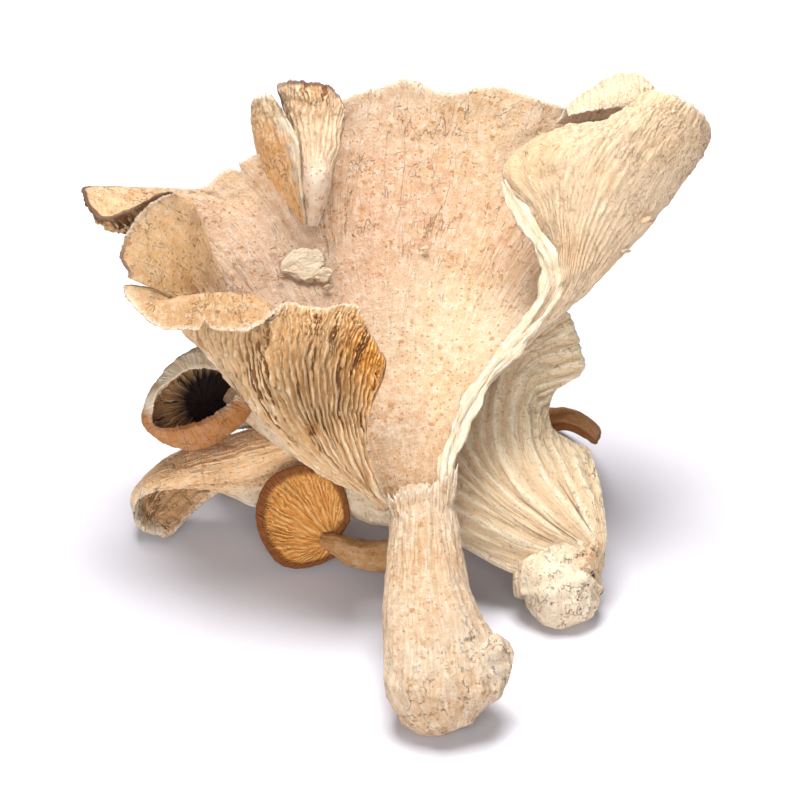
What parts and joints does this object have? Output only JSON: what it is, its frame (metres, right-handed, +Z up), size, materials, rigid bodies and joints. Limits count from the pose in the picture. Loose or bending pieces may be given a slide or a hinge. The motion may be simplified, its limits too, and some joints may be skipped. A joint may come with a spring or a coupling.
{
  "type": "oyster mushroom cluster",
  "caption": "Dried oyster mushroom cluster: wavy fan-shaped caps, gilled below, on short stems that meet in the middle, and folded in on themselves.",
  "frame": {"origin": "middle of the bounding box, on the floor the cluster rests on", "axes": "+Z up; +X along the cluster's width, from the curled side to the rolled side; +Y from the near stem base to the far rims"},
  "size_m": [0.127, 0.1156, 0.0928],
  "materials": {
    "large_flesh": "dry, matt, tan",
    "right_flesh": "dry, matt, cream",
    "amber_flesh": "dry, slightly glossy, amber brown",
    "curled_flesh": "dry, matt, brown and cream",
    "tongue_flesh": "dry, matt, pinkish tan",
    "brown_flesh": "dry, matt, brown",
    "grey_flesh": "dry, matt, grey brown"
  },
  "bodies": {
    "root": {"large_mushroom": "large_flesh", "right_mushroom": "right_flesh", "amber_mushroom": "amber_flesh", "curled_mushroom": "curled_flesh", "tongue_mushroom": "tongue_flesh", "brown_mushroom": "brown_flesh", "grey_mushroom": "grey_flesh"}
  },
  "joints": []
}
